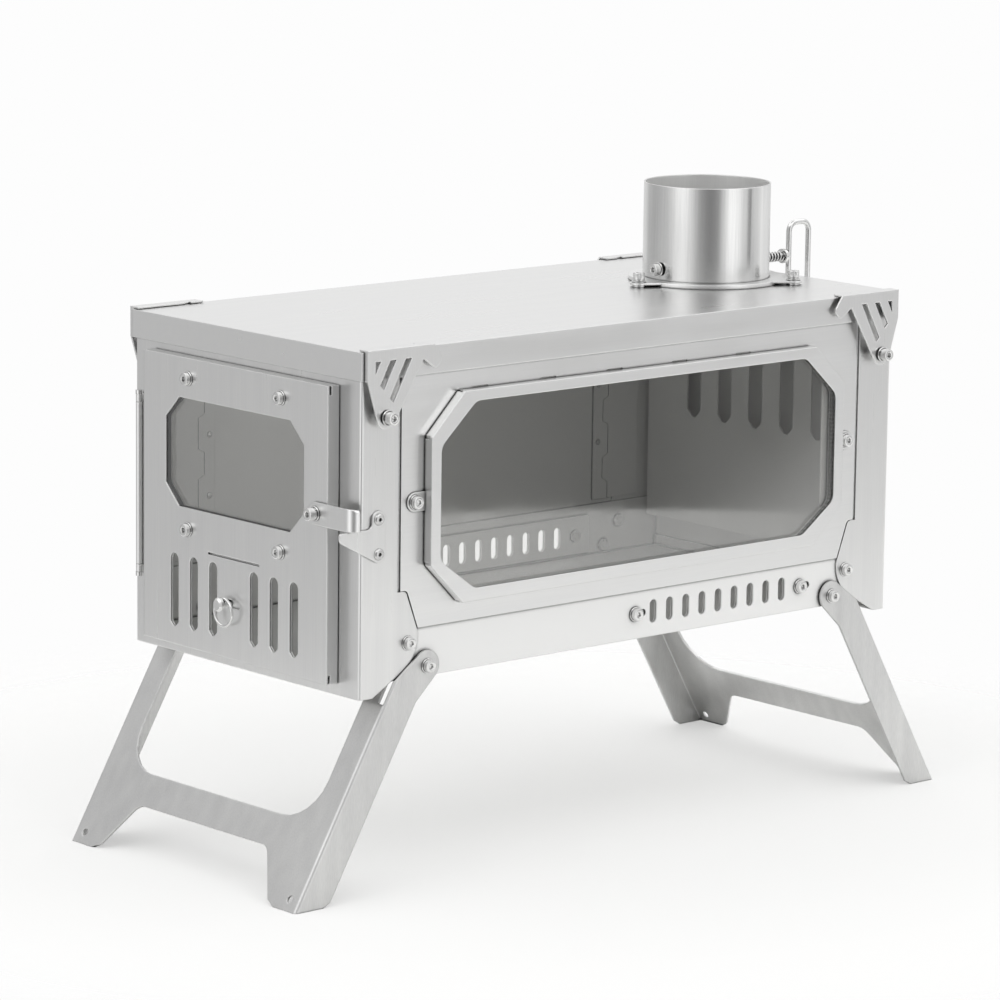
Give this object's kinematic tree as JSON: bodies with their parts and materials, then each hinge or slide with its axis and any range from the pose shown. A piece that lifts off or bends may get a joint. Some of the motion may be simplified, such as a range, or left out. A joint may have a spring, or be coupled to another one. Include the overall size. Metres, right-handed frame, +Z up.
{
  "type": "tent wood stove",
  "caption": "Folding sheet-metal tent wood stove with hinged glazed door, large side window, air slides, flue collar with damper, and folding leg frames.",
  "frame": {"origin": "centre of the bounding box's bottom face, on the ground between the feet", "axes": "+Z up, +Y from the door end to the flue end along the stove's length, +X towards the side with the large window"},
  "size_m": [0.226, 0.4988, 0.3631],
  "materials": {
    "sheet_brushed": "fine brushed",
    "sheet_front": "fine brushed",
    "sheet_lid": "fine brushed",
    "leg_steel": "fine brushed",
    "collar_steel": "rolled satin",
    "knob_steel": "turned satin",
    "fastener_bright": "bright",
    "rivet_bright": "bright",
    "wire_steel": "drawn bright",
    "gasket_rope": "woven",
    "ceramic_glass": "clear"
  },
  "bodies": {
    "body": {"bottom_tray": "sheet_brushed", "front_pan": "sheet_brushed", "rear_pan": "sheet_brushed", "window_panel": "sheet_brushed", "far_panel": "sheet_brushed", "pan_hinge_leaves": "sheet_brushed", "panel_hinge_leaves": "sheet_brushed", "hinge_rivets": "rivet_bright", "rear_baffle": "sheet_brushed", "window_frame": "sheet_brushed", "window_gasket": "gasket_rope", "window_glass": "ceramic_glass", "window_screws": "fastener_bright", "gusset_screws": "fastener_bright", "lid": "sheet_lid", "flue_flange": "sheet_brushed", "flue_collar": "collar_steel", "flange_spacers": "fastener_bright", "flange_screws": "fastener_bright", "leg_spacers": "fastener_bright", "leg_pivot_screws": "fastener_bright", "clip_spacers": "fastener_bright", "clip_screws": "fastener_bright", "hinge_lugs": "sheet_brushed", "hinge_pin": "wire_steel", "latch_catch": "sheet_brushed", "catch_rivets": "rivet_bright"},
    "door": {"door_pan": "sheet_front", "door_glass": "ceramic_glass", "door_retainer": "sheet_brushed", "door_screws": "fastener_bright", "slide_rails": "sheet_brushed", "latch_screw": "fastener_bright"},
    "front_slide": {"door_air_slide": "sheet_brushed", "air_knob": "knob_steel"},
    "ring": {"pull_ring": "wire_steel"},
    "latch": {"latch_arm": "sheet_front"},
    "near_slide": {"near_air_slide": "sheet_brushed", "near_slide_screws": "fastener_bright"},
    "far_slide": {"far_air_slide": "sheet_brushed", "far_slide_screws": "fastener_bright"},
    "front_leg_frame": {"front_leg": "leg_steel"},
    "rear_leg_frame": {"rear_leg": "leg_steel"},
    "damper": {"damper_shaft": "wire_steel", "damper_plate": "sheet_brushed", "damper_washer": "fastener_bright", "damper_spring": "wire_steel", "damper_end_screw": "fastener_bright"},
    "clip_fn": {"clip_front_near": "sheet_brushed"},
    "clip_ff": {"clip_front_far": "sheet_brushed"},
    "clip_rn": {"clip_rear_near": "sheet_brushed"},
    "clip_rf": {"clip_rear_far": "sheet_brushed"}
  },
  "joints": [
    {"name": "front_door", "type": "hinge", "parent": "body", "child": "door", "pos_m": [-0.0925, -0.2076, 0.2], "axis": [0, 0, -1], "range_deg": [0, 150]},
    {"name": "latch_turn", "type": "hinge", "parent": "door", "child": "latch", "pos_m": [0.074, -0.2129, 0.2131], "axis": [0, -1, 0], "range_deg": [0, 55]},
    {"name": "front_air_slide", "type": "slide", "parent": "door", "child": "front_slide", "axis": [1, 0, 0], "range_m": [0, 0.00885]},
    {"name": "ring_swing", "type": "hinge", "parent": "front_slide", "child": "ring", "pos_m": [-0.00443, -0.2156, 0.1533], "axis": [-1, 0, 0], "range_deg": [0, 80]},
    {"name": "near_air_slide", "type": "slide", "parent": "body", "child": "near_slide", "axis": [0, 1, 0], "range_m": [0, 0.00643]},
    {"name": "far_air_slide", "type": "slide", "parent": "body", "child": "far_slide", "axis": [0, 1, 0], "range_m": [0, 0.00643]},
    {"name": "front_leg_fold", "type": "hinge", "parent": "body", "child": "front_leg_frame", "pos_m": [0, -0.157, 0.1258], "axis": [1, 0, 0], "range_deg": [0, 120]},
    {"name": "rear_leg_fold", "type": "hinge", "parent": "body", "child": "rear_leg_frame", "pos_m": [0, 0.157, 0.1258], "axis": [-1, 0, 0], "range_deg": [0, 120]},
    {"name": "flue_damper", "type": "hinge", "parent": "body", "child": "damper", "pos_m": [0, 0.147, 0.3133], "axis": [0, 1, 0], "range_deg": [0, 90]},
    {"name": "clip_front_near_flex", "type": "hinge", "parent": "body", "child": "clip_fn", "pos_m": [0.1058, -0.1903, 0.268], "axis": [0, 1, 0], "range_deg": [0, 12], "stiffness_Nm_per_rad": 0.3},
    {"name": "clip_front_far_flex", "type": "hinge", "parent": "body", "child": "clip_ff", "pos_m": [-0.1058, -0.1903, 0.268], "axis": [0, -1, 0], "range_deg": [0, 12], "stiffness_Nm_per_rad": 0.3},
    {"name": "clip_rear_near_flex", "type": "hinge", "parent": "body", "child": "clip_rn", "pos_m": [0.1058, 0.1903, 0.268], "axis": [0, 1, 0], "range_deg": [0, 12], "stiffness_Nm_per_rad": 0.3},
    {"name": "clip_rear_far_flex", "type": "hinge", "parent": "body", "child": "clip_rf", "pos_m": [-0.1058, 0.1903, 0.268], "axis": [0, -1, 0], "range_deg": [0, 12], "stiffness_Nm_per_rad": 0.3}
  ]
}
